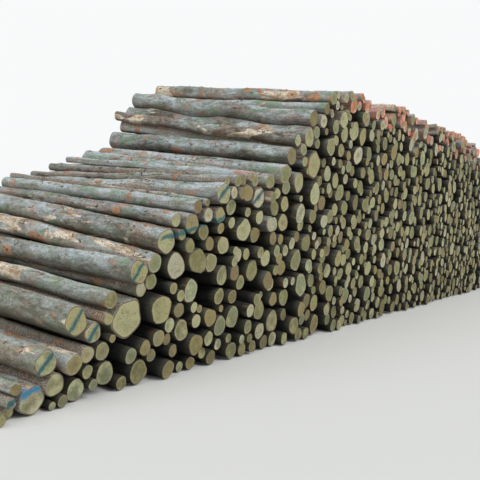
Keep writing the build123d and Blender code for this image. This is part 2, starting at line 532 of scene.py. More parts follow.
def groove_depth(mesh, logs, others):
    """How deep in a groove each point of some logs lies, from 0 in the open to 1 where two logs touch.

    depth = 1 - gap / reach, where the gap to the nearest other log counts as no more than the reach
    """
    points = places_of(mesh).reshape(len(logs), -1, 3)
    gap = np.full(points.shape[:2], groove_reach)
    for k, log in enumerate(logs):
        apart_near = np.hypot(others[:, 0] - log[0], others[:, 2] - log[2]) - others[:, 3] - log[3]
        apart_far = np.hypot(others[:, 4] - log[4], others[:, 6] - log[6]) - others[:, 7] - log[7]
        beside = (np.minimum(apart_near, apart_far) < groove_reach) & (others != log).any(axis=1)
        near = others[beside]
        s = np.clip((points[k, :, 1, None] - near[:, 1]) / (near[:, 5] - near[:, 1]), 0, 1)
        x = near[:, 0] + (near[:, 4] - near[:, 0]) * s
        z = near[:, 2] + (near[:, 6] - near[:, 2]) * s
        radius = near[:, 3] + (near[:, 7] - near[:, 3]) * s
        distance = np.hypot(points[k, :, 0, None] - x, points[k, :, 2, None] - z) - radius
        gap[k] = np.minimum(gap[k], distance.min(axis=1, initial=groove_reach))
    return 1 - np.clip(gap, 0, groove_reach) / groove_reach


print("grooves reach", groove_reach, "m from the next log")

# %% [markdown]
# No two logs are alike: those low on the slope are thick and nearly straight, those high up crooked, and
# the ends on the crest are paler. Each log could be described by hand, but a thousand of them cannot.
# Here each gets a row of twelve chance numbers, the last one spare, from one fixed seed, so that the
# stack is the same each time. Columns 8 to 10 are also the three that the materials read. Only the big
# log and the one with the blue stroke have some numbers chosen for them.

# %% Chance numbers of the logs
crooked_height = 2.3
high_crook, low_crook = 1.8, 0.5
least_crook, crook_range = 0.010, 0.040
weathering_of_marked = 0.4
least_crest_pale, crest_pale_range = 0.8, 0.2
chosen_numbers = {  # by node and column
    "foot_log_24": {2: 0.30, 3: 0.69, 4: 0.26, 8: 0.15, 9: 0.56, 10: 0.10},
    "foot_log_03": {9: 0.60, 10: 0.90},
}
chance = np.random.default_rng(11)
seed_table = chance.random((len(all_logs), 12))
log_nodes = np.repeat(list(node_logs), [len(logs) for logs in node_logs.values()])
for node, values in chosen_numbers.items():
    for column, value in values.items():
        seed_table[log_nodes == node, column] = value
seed_table[np.isin(log_nodes, teal_logs + blue_logs), 8] *= weathering_of_marked
on_crest = (openness > 0) & (all_logs[:, 2] > crest_height)
seed_table[on_crest, 10] = least_crest_pale + crest_pale_range * seed_table[on_crest, 10]
crook_reach = least_crook + crook_range * chance.random(len(all_logs)) ** 1.5
high_up = middles[:, 1] > crooked_height
crook_reach[is_outer & high_up] *= high_crook
crook_reach[is_outer & ~high_up] *= low_crook
print("the longest bow is", round(float(crook_reach.max()), 3), "m, without the waves")

# %% [markdown]
# Each node becomes one or two pieces: its outer logs and its inner logs. One piece for the whole stack
# would be simpler still, but then no single log or course could be taken out of the library's part. The
# outer logs get closely spaced rings. The inner ones are plain, with a few dozen faces each, because only
# their ends and the first hand's breadth of their bark can be seen.

# %% All logs
fine = {
    "sides": 36,
    "rings": np.concatenate([[0, 0.0006, 0.002], np.linspace(0.01, 0.99, 33), [0.998, 0.9994, 1]]),
    "shrink": (0.96, 0.6, 0.3),
    "lump": 0.08,
    "greatest": 1.07,
}
plain = {"sides": 16, "rings": np.array([0, 0.5, 1]), "shrink": (), "lump": 0.06, "greatest": 1.02}
inner_crook = 0.3

pieces = []
first = 0
triangles = 0
for node, logs in node_logs.items():
    rows = slice(first, first + len(logs))
    first += len(logs)
    outer = is_outer[rows]
    marks = paint_of(node, logs, seed_table[rows], openness[rows])
    for label, chosen, share, finish in (("outer", outer, 1.0, fine), ("inner", ~outer, inner_crook, plain)):
        if not chosen.any():
            continue
        name = f"{node}_{label}"
        crook = crook_reach[rows][chosen] * share
        mesh = log_mesh(name, logs[chosen], seed_table[rows][chosen], marks[chosen], crook, **finish)
        if label == "outer":
            add_numbers(mesh, "groove", groove_depth(mesh, logs[chosen], all_logs), "FLOAT", "value")
        pieces.append((placed(name, mesh), node, label))
        triangles += len(mesh.loops) - 2 * len(mesh.polygons)
print(len(pieces), "pieces with", triangles, "triangles")

# %% [markdown]
# Dead leaves, flakes of bark and twigs have gathered on the sloping logs. They could be strewn by a
# particle system, but that is no mesh of its own and knows nothing of grooves. Here each one is let
# down along a plumb line on to the finished logs, and lies flat on the spot that it hits.

# %% Let litter down
drop_height = 10.0


def all_in_one(chosen):
    """The triangles of several pieces as one tree, for looking up what lies below a point."""
    places = [places_of(piece.data) for piece in chosen]
    starts = np.cumsum([0] + [len(rows) for rows in places])
    faces = [triangles_of(piece.data) + start for piece, start in zip(chosen, starts)]
    return BVHTree.FromPolygons(np.concatenate(places).tolist(), np.concatenate(faces).tolist())


def let_down(tree, x, y):
    """Place and upward direction of the surface below each point, with the row of each point that hits."""
    down = Vector((0.0, 0.0, -1.0))
    hits = [tree.ray_cast(Vector((a, b, drop_height)), down) for a, b in zip(x, y)]
    rows = [k for k, hit in enumerate(hits) if hit[0] is not None]
    return np.array([hits[k][0] for k in rows]), np.array([hits[k][1] for k in rows]), np.array(rows)


flank_margin = 0.1
flank_run = 5.2
outer_surface = all_in_one([piece for piece, node, label in pieces if label == "outer"])
flank_start = low_corner[0] + flank_margin
flank_end = foot_x + flank_run
print("litter lies from", round(float(flank_start), 2), "to", round(float(flank_end), 2), "m along the stack")

# %% [markdown]
# Leaves and crumbs lie in heaps, and stay where the surface on both sides is higher, which is the
# bottom of a groove. Some heaps are so thick that they cover the round of a log as well. A leaf could be
# a card with a cut-out picture. Here it is a flat double pyramid over a pointed oval, bent a little
# about its long axis, which is closed and needs only 16 faces.

# %% Leaves and crumbs
heap_count = 300
crumbs_per_heap = 80
heap_width, heap_length = 0.07, 0.24
heap_margin, crumb_margin = 0.3, 0.12
beside_crumb = 0.09
least_hollow = 0.004
drift_share = 0.22
kept_on_drift, kept_on_bark = 0.6, 0.03
least_leaf, leaf_range = 0.015, 0.045
leaf_corners = 8


def leaf_points(places, normals, turn, length):
    """Rim, top and bottom of each leaf: u along, v across, sunk by v^2, on the plane of the surface.

    u = cos(a) / 2, v = 0.32 sin(a) (1 - 0.35 cos(a)^2), w = 0.06 - 1.6 v^2, each times the length
    The top and the bottom lie in the middle, at w = 0.11 and w = 0.06.
    """
    angle = np.arange(leaf_corners) * 2 * math.pi / leaf_corners
    u = np.append(np.cos(angle), [0, 0]) * 0.5
    v = np.append(np.sin(angle) * (1 - 0.35 * np.cos(angle) ** 2), [0, 0]) * 0.32
    w = np.append(-1.6 * v[:leaf_corners] ** 2, [0.05, 0.0])
    side = np.stack([np.cos(turn), np.sin(turn), 0 * turn], axis=-1)
    across = np.cross(normals, side)
    across /= np.linalg.norm(across, axis=1)[:, None]
    side = np.cross(across, normals)
    lifted = (w[:, None] + 0.06) * normals[:, None]
    offset = u[:, None] * side[:, None] + v[:, None] * across[:, None] + lifted
    return places[:, None] + length[:, None, None] * offset


heap_x = np.repeat(chance.uniform(flank_start, flank_end, heap_count), crumbs_per_heap)
heap_y = chance.uniform(low_corner[1] + heap_margin, high_corner[1] - heap_margin, heap_count)
x = heap_x + chance.normal(0, heap_width, len(heap_x))
y = np.repeat(heap_y, crumbs_per_heap) + chance.normal(0, heap_length, len(heap_x))
y = np.clip(y, low_corner[1] + crumb_margin, high_corner[1] - crumb_margin)
places, normals, rows = let_down(outer_surface, x, y)
higher_sides = np.zeros(len(rows), int)
for side in (-beside_crumb, beside_crumb):
    side_places, side_normals, side_rows = let_down(outer_surface, x[rows] + side, y[rows])
    higher_sides[side_rows] += side_places[:, 2] > places[side_rows, 2] + least_hollow
drifted = np.repeat(chance.random(heap_count) < drift_share, crumbs_per_heap)[rows]
kept = chance.random(len(rows)) < np.where(drifted, kept_on_drift, kept_on_bark)
kept |= higher_sides == 2
places, normals = places[kept], normals[kept]
turn = chance.uniform(0, 2 * math.pi, len(places))
length = least_leaf + leaf_range * chance.random(len(places)) ** 2
leaves = leaf_points(places, normals, turn, length)
rim = np.arange(leaf_corners)
next_rim = (rim + 1) % leaf_corners
leaf_tops = np.column_stack([rim, next_rim, np.full(leaf_corners, leaf_corners)])
leaf_bottoms = np.column_stack([next_rim, rim, np.full(leaf_corners, leaf_corners + 1)])
leaf_faces = [np.concatenate([leaf_tops, leaf_bottoms])]
print(len(leaves), "leaves and crumbs")

# %% [markdown]
# Twigs lie along the logs, because they roll off any other way. A bevelled curve would make a twig too,
# but all of them at once are quicker as one array: rings round a bent line, on the plane of the bark.

# %% Twigs
twig_count = 110
twig_margin = 0.4
twig_top = 3.0
twig_turn = 0.15
twig_lengths = (0.10, 0.34)
twig_radii = (0.002, 0.0045)
twig_rings = 8
twig_sides = 5


def twig_points(places, normals, turn, length, radius):
    """Rings of each twig round a middle line that is bent to one side, thinning evenly to two fifths.

    along = length (s - 1/2), aside = 0.1 length sin(3 s + 6 turn) + radius (1 - 0.6 s) cos(a),
    up = radius + radius (1 - 0.6 s) sin(a)
    """
    s = np.linspace(0, 1, twig_rings)[None, :, None]
    angle = (np.arange(twig_sides) * 2 * math.pi / twig_sides)[None, None, :]
    run = np.stack([np.cos(turn), np.sin(turn), 0 * turn], axis=-1)
    run -= (run * normals).sum(axis=1)[:, None] * normals
    side = np.cross(normals, run)
    bend = 0.10 * length[:, None, None] * np.sin(3 * s + 6 * turn[:, None, None])
    thick = radius[:, None, None] * (1 - 0.6 * s)
    along = length[:, None, None] * (s - 0.5)
    parts = [(run, along + 0 * angle), (side, bend + thick * np.cos(angle)),
             (normals, radius[:, None, None] + thick * np.sin(angle))]
    offset = sum(direction[:, None, None] * amount[..., None] for direction, amount in parts)
    return (places[:, None, None] + offset).reshape(len(places), -1, 3)


x = chance.uniform(flank_start, flank_end, twig_count)
y = chance.uniform(low_corner[1] + twig_margin, high_corner[1] - twig_margin, twig_count)
places, normals, rows = let_down(outer_surface, x, y)
low_enough = places[:, 2] < twig_top
places, normals = places[low_enough], normals[low_enough]
turn = math.pi / 2 + chance.normal(0, twig_turn, len(places))
length = chance.uniform(*twig_lengths, len(places))
radius = chance.uniform(*twig_radii, len(places))
twigs = twig_points(places, normals, turn, length, radius)
twig_bark = log_faces(twig_sides, twig_rings, 0)[0][:, ::-1]
butt = np.arange(twig_sides)[::-1]
tip = np.arange(twig_sides) + (twig_rings - 1) * twig_sides
twig_faces = [twig_bark, np.array([butt, tip])]
print(len(twigs), "twigs")

# %% [markdown]
# Thousands of leaves and crumbs lie on the logs. Each could be an object of its own, but so many would
# make the scene slow. So all leaves and crumbs are one piece and all twigs another, flat-shaded, because
# such small things have sharp edges. Each one carries three chance numbers for its colour.

# %% Litter pieces
litter_pieces = []
for name, points, faces in (("dead_leaves", leaves, leaf_faces), ("twigs", twigs, twig_faces)):
    mesh = repeated_mesh(name, np.clip(points, low_corner, high_corner), faces)
    mesh.polygons.foreach_set("use_smooth", np.zeros(len(mesh.polygons), bool))
    shades = chance.random((len(points), 3))
    add_numbers(mesh, "tint", np.repeat(shades[:, None], points.shape[1], axis=1))
    litter_pieces.append(placed(name, mesh))
    print(len(mesh.polygons), "faces in", name)

# %% [markdown]
# Bark, sawn ends and litter are each a web of shader nodes. Such a web can be drawn by hand in the
# shader editor, or written with one call for each node and link. The same few kinds of node come back
# all the time, so each gets a short name here, and a material then reads from top to bottom.

# %% Node helpers


class Nodes:
    """Short ways to add and join the nodes of one material."""

    def __init__(self, name):
        self.material = bpy.data.materials.new(name)
        self.material.use_nodes = True
        self.tree = self.material.node_tree
        self.shader = self.tree.nodes["Principled BSDF"]

    def add(self, kind, **settings):
        node = self.tree.nodes.new(kind)
        for key, value in settings.items():
            setattr(node, key, value)
        return node

    def join(self, source, target):
        self.tree.links.new(source, target)

    def feed(self, socket, value):
        """Join a value that comes from another node, and set one that is a number or a tuple."""
        if isinstance(value, bpy.types.NodeSocket):
            self.join(value, socket)
        else:
            socket.default_value = value

    def fed(self, node, *values):
        """The first output of a node whose inputs take these values in turn."""
        for socket, value in zip(node.inputs, values):
            self.feed(socket, value)
        return node.outputs[0]

    def math(self, operation, a, b=0.0, c=0.0):
        return self.fed(self.add("ShaderNodeMath", operation=operation), a, b, c)

    def plus(self, a, b):
        return self.math("ADD", a, b)

    def minus(self, a, b):
        return self.math("SUBTRACT", a, b)

    def times(self, a, b):
        return self.math("MULTIPLY", a, b)

    def swing(self, noise, size):
        """A noise from 0 to 1 turned into one of the given size about 0."""
        return self.times(self.minus(noise, 0.5), size)

    def vector(self, x, y, z):
        return self.fed(self.add("ShaderNodeCombineXYZ"), x, y, z)

    def split(self, vector):
        node = self.add("ShaderNodeSeparateXYZ")
        self.join(vector, node.inputs[0])
        return node.outputs

    def place(self):
        """The place of a point in the stack, in metres."""
        return self.add("ShaderNodeTexCoord").outputs["Object"]

    def numbers(self, name, output="Vector"):
        """The numbers that the corners of a mesh carry under a name."""
        return self.add("ShaderNodeAttribute", attribute_name=name).outputs[output]

    def scaled(self, vector, scale):
        node = self.add("ShaderNodeMapping")
        self.join(vector, node.inputs["Vector"])
        node.inputs["Scale"].default_value = scale
        return node.outputs[0]

    def noise(self, vector, scale, detail=3.0, roughness=0.55, distortion=0.0):
        node = self.add("ShaderNodeTexNoise")
        self.join(vector, node.inputs["Vector"])
        node.inputs["Scale"].default_value = scale
        node.inputs["Detail"].default_value = detail
        node.inputs["Roughness"].default_value = roughness
        node.inputs["Distortion"].default_value = distortion
        return node.outputs["Fac"]

    def step(self, value, low, high):
        """Smooth step from 0 at low to 1 at high."""
        node = self.add("ShaderNodeMapRange", interpolation_type="SMOOTHSTEP")
        self.feed(node.inputs["Value"], value)
        self.feed(node.inputs["From Min"], low)
        self.feed(node.inputs["From Max"], high)
        return node.outputs["Result"]

    def patch(self, value, threshold, softness):
        """1 where a value is over a threshold, with an edge of the given softness."""
        return self.step(value, threshold, self.plus(threshold, softness))

    def is_kind(self, value, kind):
        """1 where a value is this whole number."""
        return self.math("COMPARE", value, kind, 0.4)

    def mix(self, factor, a, b, blend="MIX"):
        node = self.add("ShaderNodeMix", data_type="RGBA", blend_type=blend)
        self.feed(node.inputs["Factor"], factor)
        for socket, value in ((node.inputs[6], a), (node.inputs[7], b)):
            self.feed(socket, value if isinstance(value, bpy.types.NodeSocket) else (*value, 1.0))
        return node.outputs[2]

    def cover(self, colour, amount, strength, over):
        """A colour with another one over it, as far as an amount times a strength."""
        return self.mix(self.times(amount, strength), colour, over)

    def finish(self, colour, roughness, gloss, height, strength, distance):
        """The material with this colour and relief."""
        bump = self.add("ShaderNodeBump")
        bump.inputs["Strength"].default_value = strength
        bump.inputs["Distance"].default_value = distance
        self.join(height, bump.inputs["Height"])
        self.join(bump.outputs[0], self.shader.inputs["Normal"])
        self.join(colour, self.shader.inputs["Base Color"])
        self.shader.inputs["Roughness"].default_value = roughness
        self.shader.inputs["Specular IOR Level"].default_value = gloss
        return self.material


print("node helpers ready")

# %% [markdown]
# One thin line was sprayed in a single sweep across the ends of several logs on the slope. It could be
# painted on each end by itself, but then it would not run on from log to log. So the line is worked out
# from places in the stack: how far a point lies along it and beside it. Bark and ends both use it.

# %% Sprayed line
line_paint = (0.020, 0.125, 0.140)
line_wander = 0.10
line_strength = 0.85


def end_middle(node):
    """Place along the stack and height of the middle of a log's box."""
    low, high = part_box(node)
    return np.array([(low[0] + high[0]) / 2, (low[2] + high[2]) / 2])


line_start = end_middle("slope_log_04") + (-0.06, -0.05)
line_end = end_middle("slope_log_07") + (0.10, 0.06)
line_run = line_end - line_start
line_length = np.linalg.norm(line_run)


def sprayed_line(n, x, z, noise):
    """1 on the line that was sprayed up across several logs, fading out at its edges and its two ends."""
    along_x, along_z = line_run / line_length
    from_x = n.minus(x, line_start[0])
    from_z = n.minus(z, line_start[1])
    along = n.plus(n.times(from_x, along_x), n.times(from_z, along_z))
    across = n.minus(n.times(from_z, along_x), n.times(from_x, along_z))
    across = n.math("ABSOLUTE", n.plus(across, n.swing(noise, line_wander)))
    line = n.times(n.step(across, 0.030, 0.012), n.step(along, -0.04, 0.03))
    line = n.times(line, n.step(along, line_length + 0.04, line_length - 0.03))
    return n.times(line, line_strength)


print("the sprayed line is", round(float(line_length), 2), "m long")

# %% [markdown]
# Beech bark is thin, smooth and grey, from nearly black to silver, and brown in some places. A picture
# of bark would repeat itself on a thousand logs. Smooth noise, stretched along the logs, mixes the tones
# instead, and each log's own numbers shift the noise, so that no two logs look alike.

# %% Tones of the bark
stretch = (1.0, 0.4, 1.0)


class BarkNodes(Nodes):
    """The nodes of one bark, with the places and the noises that several of its layers read."""

    def __init__(self, name):
        super().__init__(name)
        tint = self.numbers("tint")
        self.tint_x, self.tint_y, self.tint_z = self.split(tint)
        shift = self.add("ShaderNodeVectorMath", operation="MULTIPLY_ADD")
        place = self.place()
        self.x, self.y, self.z = self.split(place)
        self.shifted = self.fed(shift, tint, (9.0, 5.0, 7.0), place)
        self.along = self.scaled(self.shifted, stretch)
        self.upwards = self.split(self.add("ShaderNodeNewGeometry").outputs["Normal"])[2]
        self.from_cut = self.minus(self.split(self.numbers("cut"))[2], 1.0)
        self.off_ground = self.step(self.z, 0.3, 1.6)
        self.high_up = self.step(self.z, 2.0, 2.7)
        self.broad = self.noise(self.along, 3.2, 4.0, 0.6)
        self.mottle = self.noise(self.along, 19.0, 6.0, 0.7, 0.4)
        self.wrinkle = self.noise(self.scaled(self.shifted, (1.0, 2.6, 1.0)), 38.0, 4.0, 0.6)
        self.grain = self.noise(self.shifted, 120.0, 3.0, 0.6)


def grey_and_brown(n):
    """Dark, middle and pale grey by one tone, and brown where another noise is high, more so high up. The
    upper side is painted a little paler and the underside a little browner, as painted light and shade.
    """
    tone = n.plus(n.times(n.broad, 0.5), n.times(n.mottle, 0.5))
    tone = n.plus(tone, n.swing(n.tint_x, 0.16))
    # Painted light: the upper side of the bark is a little paler.
    tone = n.plus(tone, n.times(n.upwards, 0.05))
    grey = n.mix(n.step(tone, 0.38, 0.50), (0.120, 0.120, 0.095), (0.330, 0.350, 0.325))
    grey = n.mix(n.step(tone, 0.48, 0.62), grey, (0.63, 0.69, 0.715))
    brown = n.mix(n.step(tone, 0.38, 0.62), (0.130, 0.095, 0.068), (0.47, 0.40, 0.345))
    browner = n.plus(n.noise(n.along, 5.5, 4.0, 0.6), n.times(n.tint_y, 0.16))
    # Painted shade: the underside is a little browner.
    browner = n.minus(browner, n.times(n.upwards, 0.07))
    browner = n.plus(browner, n.times(n.high_up, 0.05))
    return n.mix(n.step(browner, 0.56, 0.74), grey, brown)


print("bark is stretched", round(stretch[0] / stretch[1], 1), "times along the logs")

# %% [markdown]
# Green algae, a blue-grey bloom of lichen and a pink blush grow on the bark, and close to the ground it
# is earthy. Each could be painted by hand as a mask. Here each is a noise with an edge: where the noise
# is over a threshold, its colour lies over the bark. The blue-grey lies only on the upper side, so it is
# partly a painted sheen of sky light.

# %% Growth on the bark
algae_green = (0.210, 0.335, 0.200)
lichen_and_sky_blue = (0.53, 0.67, 0.74)
blush_pink = (0.60, 0.42, 0.385)
earth_olive = (0.370, 0.350, 0.235)


def growth(n, colour):
    """Algae, lichen with a painted sky-lit sheen on the upper side and most of all off the ground, blush, and
    earth low down.
    """
    edge = n.minus(0.54, n.times(n.tint_x, 0.08))
    algae = n.patch(n.noise(n.along, 6.5, 5.0, 0.68, 0.5), edge, 0.16)
    colour = n.cover(colour, algae, 0.80, algae_green)
    edge = n.minus(0.56, n.times(n.tint_z, 0.08))
    lichen_and_sky_sheen = n.patch(n.noise(n.along, 8.0, 6.0, 0.74, 0.6), edge, 0.16)
    # Painted light: the blue-grey lies only on the upper side, as a sheen of sky light over the lichen.
    lichen_and_sky_sheen = n.times(lichen_and_sky_sheen, n.step(n.upwards, -0.3, 0.7))
    lichen_and_sky_sheen = n.times(lichen_and_sky_sheen, n.plus(0.45, n.times(n.off_ground, 0.55)))
    colour = n.cover(colour, lichen_and_sky_sheen, 0.85, lichen_and_sky_blue)
    blush = n.patch(n.noise(n.along, 11.0, 5.0, 0.7, 0.5), 0.56, 0.12)
    colour = n.cover(colour, blush, 0.70, blush_pink)
    return n.cover(colour, n.minus(1.0, n.off_ground), 0.30, earth_olive)


print("growth ready")

# %% [markdown]
# In felling and hauling, bark is rubbed to orange-brown, scuffed in streaks and peeled to the cream
# wood, and where branches were cut off, round tan scars stay behind. Patches of their own mesh would be
# crisper, but a noise with a hard edge gives the torn outline, and a grid of cells places the scars.

# %% Wear and scars
rubbed_orange = (0.60, 0.235, 0.100)
wood_in_shade, wood_in_light = (0.50, 0.34, 0.20), (0.96, 0.83, 0.67)
scar_dark, scar_pale = (0.46, 0.20, 0.09), (0.78, 0.46, 0.27)
scar_heart = (0.10, 0.07, 0.05)


def wear(n, colour):
    """Rubbed places, and bare wood where the bark is scuffed or peeled, which some logs have more of."""
    rubbed_place = n.noise(n.scaled(n.shifted, (1.0, 0.8, 1.0)), 4.6, 4.0, 0.62, 0.5)
    rubbed = n.patch(rubbed_place, n.minus(0.615, n.times(n.tint_z, 0.06)), 0.10)
    colour = n.cover(colour, rubbed, 0.85, rubbed_orange)
    worn = n.times(n.tint_y, n.tint_y)
    streaks = n.noise(n.scaled(n.shifted, (1.0, 0.16, 1.0)), 7.0, 4.0, 0.6)
    scuffed = n.patch(streaks, n.minus(0.69, n.times(worn, 0.06)), 0.02)
    edge = n.minus(n.minus(0.675, n.times(worn, 0.12)), n.times(n.high_up, 0.03))
    peeled_place = n.noise(n.scaled(n.shifted, (1.2, 0.3, 1.2)), 3.4, 4.0, 0.6, 0.3)
    n.peeled = n.math("MAXIMUM", n.patch(peeled_place, edge, 0.015), scuffed)
    return n.mix(n.peeled, colour, n.mix(n.step(n.mottle, 0.38, 0.60), wood_in_shade, wood_in_light))


def branch_scars(n, colour):
    """A round scar with a dark heart at the middle of each cell, its edge frayed by the mottle."""
    cells = n.add("ShaderNodeTexVoronoi")
    n.join(n.scaled(n.shifted, (1.0, 0.8, 1.0)), cells.inputs["Vector"])
    cells.inputs["Scale"].default_value = 2.6
    from_scar = n.plus(cells.outputs["Distance"], n.times(n.mottle, 0.05))
    scar = n.step(from_scar, 0.200, 0.170)
    colour = n.cover(colour, scar, 0.75, n.mix(n.mottle, scar_dark, scar_pale))
    return n.cover(colour, n.step(from_scar, 0.075, 0.06), 0.8, scar_heart)


print("wear and scars ready")

# %% [markdown]
# Wrinkles run across the bark, the underside is dark, partly with dirt and partly with painted shade, soil
# and leaf mould fill the grooves, and crumbs lie on top. The mesh litter alone would need many more pieces,
# so the finest of it is colour and relief. Two measures find the places: which way the surface faces, and
# the number groove.

# %% Soil and dirt
wrinkle_dark, underside_dirt_and_shade = (0.07, 0.06, 0.045), (0.085, 0.066, 0.048)
soil_dark, soil_pale = (0.120, 0.088, 0.064), (0.54, 0.42, 0.32)
crumb_brown, speck_dark = (0.17, 0.105, 0.065), (0.10, 0.088, 0.068)


def soil_and_dirt(n, colour):
    """Wrinkles, an underside darkened by dirt and painted shade, soil in the grooves, crumbs on top, dark
    specks and a fine grain.
    """
    colour = n.cover(colour, n.step(n.wrinkle, 0.50, 0.36), 0.45, wrinkle_dark)
    # Dirt and painted shade: the underside of the bark is darker.
    colour = n.cover(colour, n.step(n.upwards, 0.05, -0.85), 0.45, underside_dirt_and_shade)
    gathered = n.plus(n.numbers("groove", "Fac"), n.swing(n.mottle, 0.8))
    gathered = n.plus(gathered, n.swing(n.broad, 1.2))
    gathered = n.times(n.step(gathered, 0.38, 0.70), n.step(n.upwards, -0.35, 0.25))
    soil = n.mix(n.step(n.noise(n.shifted, 75.0, 4.0, 0.75), 0.42, 0.62), soil_dark, soil_pale)
    colour = n.cover(colour, gathered, 0.85, soil)
    crumbs = n.patch(n.noise(n.shifted, 46.0, 4.0, 0.7), 0.60, 0.04)
    n.crumbs = n.times(n.step(n.upwards, 0.55, 0.95), crumbs)
    colour = n.cover(colour, n.crumbs, 0.8, crumb_brown)
    specks = n.patch(n.noise(n.along, 70.0, 4.0, 0.7), 0.57, 0.05)
    colour = n.cover(colour, specks, 0.5, speck_dark)
    return n.mix(0.7, colour, n.mix(n.grain, (0.10, 0.10, 0.10), (0.90, 0.90, 0.90)), "SOFT_LIGHT")


print("soil and dirt ready")

# %% [markdown]
# Spray paint does not stop at the rim of a cut: some of it drifts on to the bark. A second layer of
# mesh could carry it, but a layer of colour needs no room. It covers the bark as far as a reach from
# the cut, patchily, and not on the underside.

# %% Paint on the bark
bark_paints = (  # kind, reach from the cut, strength and colour
    (blue_stroke, 0.40, 0.6, (0.58, 0.62, 0.68)),
    (blue_stroke, 0.06, 0.7, (0.07, 0.25, 0.40)),
    (red_spray, 0.70, 0.50, (0.70, 0.48, 0.47)),
    (red_spray, 0.14, 0.75, (0.76, 0.24, 0.15)),
)


def paint_on_bark(n, colour):
    """The paint of the marked logs, and the sprayed line where it crosses the bark of the near ends."""
    kind = n.split(n.numbers("paint"))[2]
    splash = n.plus(n.from_cut, n.swing(n.mottle, 0.5))
    patchy = n.times(n.step(n.upwards, -0.5, 0.3), n.step(n.mottle, 0.42, 0.54))
    for paint_kind, reach, strength, paint in bark_paints:
        painted = n.times(n.step(splash, reach + 0.05, reach - 0.03), n.is_kind(kind, paint_kind))
        colour = n.cover(colour, n.times(painted, patchy), strength, paint)
    near_face = n.times(n.step(n.from_cut, 0.13, 0.08), n.math("LESS_THAN", n.y, 0.0))
    return n.cover(colour, sprayed_line(n, n.x, n.z, n.mottle), near_face, line_paint)


print(len(bark_paints), "layers of paint on the bark")

# %% [markdown]
# Deep between the logs no light falls and the bark is damp. The render's own shadows darken much of it,
# but the gaps of a real stack are darker still. So the inner logs get a second bark, the same but for a
# painted shade that darkens quickly from the cut inwards and towards the ground.

# %% Bark
gap_shade_tone = (1.0, 0.95, 0.76)
gap_shade_at_cut, gap_shade_inside = 0.29, 0.02


def painted_gap_shade(n, colour):
    """A colour multiplied by a painted shade that falls from the one at the cut to the one inside, darker
    towards the ground.
    """
    at_cut, inside = [[shade * part for part in gap_shade_tone] for shade in (gap_shade_at_cut, gap_shade_inside)]
    # Painted shade: lightest near the cut, darkest deep inside the stack and towards the ground.
    shade = n.mix(n.step(n.from_cut, -0.02, 0.11), at_cut, inside)
    shade = n.cover(shade, n.step(n.z, 1.3, 0.1), 0.60, (0.0, 0.0, 0.0))
    return n.mix(1.0, colour, shade, "MULTIPLY")


def bark_material(name, *more_layers):
    """Bark in all its layers, with wrinkles, mottle, grain and crumbs as relief."""
    n = BarkNodes(name)
    colour = grey_and_brown(n)
    for layer in (growth, wear, branch_scars, soil_and_dirt, paint_on_bark, *more_layers):
        colour = layer(n, colour)
    height = n.plus(n.times(n.wrinkle, 0.5), n.times(n.mottle, 0.9))
    height = n.plus(height, n.times(n.grain, 0.3))
    height = n.minus(height, n.times(n.peeled, 0.5))
    height = n.plus(height, n.times(n.crumbs, 0.6))
    return n.finish(colour, 0.82, 0.3, height, 0.85, 0.011)


bark = bark_material("beech_bark")
gap_shaded_bark = bark_material("gap_shaded_bark", painted_gap_shade)
print("bark ready, with", len(bark.node_tree.nodes), "nodes")

# %% [markdown]
# A sawn beech end is pale tan when fresh and turns khaki, ochre, brown or grey outdoors. All ends could
# share one colour with noise, but on the real face each end has its own. So each log's three numbers
# choose between the tones, and a noise on the cut makes them uneven.

# %% Weathered ends


class EndNodes(Nodes):
    """The nodes of the sawn ends, with the places on the cut and the noises that their layers read."""

    def __init__(self, name):
        super().__init__(name)
        self.x, self.z, self.share = self.split(self.numbers("cut"))
        self.tint_x, self.tint_y, self.tint_z = self.split(self.numbers("tint"))
        self.on_cut = self.vector(self.x, self.z, self.times(self.tint_x, 40.0))
        self.blotch = self.noise(self.on_cut, 9.0, 4.0, 0.6)
        self.fine = self.noise(self.on_cut, 150.0, 3.0, 0.6)
        self.stack_x, self.stack_y, self.stack_z = self.split(self.place())


def weathered_wood(n):
    """Fresh to olive wood, then ochre, brown, green and bleached ends where a log's numbers say so."""
    fresh = n.mix(n.tint_y, (0.365, 0.320, 0.145), (0.495, 0.515, 0.300))
    fresh = n.mix(n.step(n.tint_z, 0.84, 0.94), fresh, (0.560, 0.530, 0.370))
    olive = n.mix(n.tint_z, (0.190, 0.165, 0.065), (0.255, 0.275, 0.130))
    weathering = n.plus(n.times(n.blotch, 0.8), n.times(n.tint_x, 0.6))
    colour = n.mix(n.step(weathering, 0.48, 0.88), fresh, olive)
    green = n.times(n.step(n.tint_y, 0.80, 0.90), n.step(n.blotch, 0.35, 0.60))
    bleached = n.times(n.step(n.tint_x, 0.055, 0.040), n.step(n.blotch, 0.30, 0.60))
    colour = n.cover(colour, n.step(n.tint_x, 0.82, 0.90), 0.55, (0.405, 0.300, 0.125))
    colour = n.cover(colour, n.step(n.tint_y, 0.14, 0.06), 0.55, (0.185, 0.140, 0.085))
    colour = n.cover(colour, green, 0.6, (0.250, 0.320, 0.200))
    return n.cover(colour, bleached, 0.65, (0.490, 0.485, 0.400))


print("weathered ends ready")

# %% [markdown]
# A cut shows how the tree grew: fine rings round the pith, in some trees a brown heart, and pale
# sapwood under the bark. Drying cracks run out from the pith, and the lowest ends are darker in patches.
# Rings and cracks could be cut into the mesh, but they are finer than any face here. The rings are a
# wave of the distance from the pith. The cracks are where a noise that depends on the direction from
# the pith, read on a circle so that it closes, passes through its middle.

# %% Rings and cracks
rings_per_metre = 900.0
ring_dark, heart_brown, sapwood_cream = (0.16, 0.13, 0.06), (0.25, 0.16, 0.075), (0.55, 0.51, 0.35)
fibre_pale, stain_brown = (0.52, 0.48, 0.32), (0.19, 0.155, 0.095)
crack_dark, rim_brown, low_dark = (0.08, 0.055, 0.03), (0.165, 0.120, 0.075), (0.085, 0.080, 0.045)


